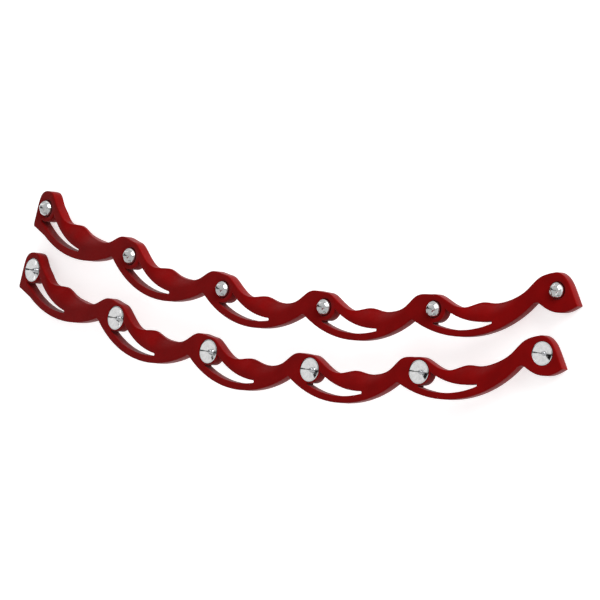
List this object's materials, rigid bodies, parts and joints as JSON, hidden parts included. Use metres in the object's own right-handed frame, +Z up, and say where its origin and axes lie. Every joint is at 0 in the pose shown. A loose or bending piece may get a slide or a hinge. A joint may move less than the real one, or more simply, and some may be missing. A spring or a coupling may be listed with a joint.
{
  "type": "ice traction rails",
  "caption": "Pair of bowed, wavy elastomer traction rails for a boot sole, each with a row of round bosses holding flanged steel studs and domed spikes.",
  "frame": {"origin": "bottom centre of the pair's bounding box, on the surface the rails lie on", "axes": "+X along the rails from the blunt end to the pointed end, +Y from the right rail to the left rail, +Z up out of the bow"},
  "size_m": [0.262, 0.059, 0.0189],
  "materials": {
    "elastomer": "matt moulded elastomer, deep red",
    "stud_steel": "polished turned steel",
    "spike_steel": "polished steel with ground scoops",
    "carbide": "ground tungsten carbide"
  },
  "bodies": {
    "left_rail_set": {"left_rail": "elastomer", "left_stud_1": "stud_steel", "left_pin_1": "carbide", "left_spike_1": "spike_steel", "left_stud_2": "stud_steel", "left_pin_2": "carbide", "left_spike_2": "spike_steel", "left_stud_3": "stud_steel", "left_pin_3": "carbide", "left_spike_3": "spike_steel", "left_stud_4": "stud_steel", "left_pin_4": "carbide", "left_spike_4": "spike_steel", "left_stud_5": "stud_steel", "left_pin_5": "carbide", "left_spike_5": "spike_steel", "left_stud_6": "stud_steel", "left_pin_6": "carbide", "left_spike_6": "spike_steel"},
    "right_rail_set": {"right_rail": "elastomer", "right_stud_1": "stud_steel", "right_pin_1": "carbide", "right_spike_1": "spike_steel", "right_stud_2": "stud_steel", "right_pin_2": "carbide", "right_spike_2": "spike_steel", "right_stud_3": "stud_steel", "right_pin_3": "carbide", "right_spike_3": "spike_steel", "right_stud_4": "stud_steel", "right_pin_4": "carbide", "right_spike_4": "spike_steel", "right_stud_5": "stud_steel", "right_pin_5": "carbide", "right_spike_5": "spike_steel", "right_stud_6": "stud_steel", "right_pin_6": "carbide", "right_spike_6": "spike_steel"}
  },
  "joints": [
    {"name": "rails_apart", "type": "slide", "parent": "left_rail_set", "child": "right_rail_set", "axis": [0, -1, 0], "range_m": [0, 0.06]}
  ]
}
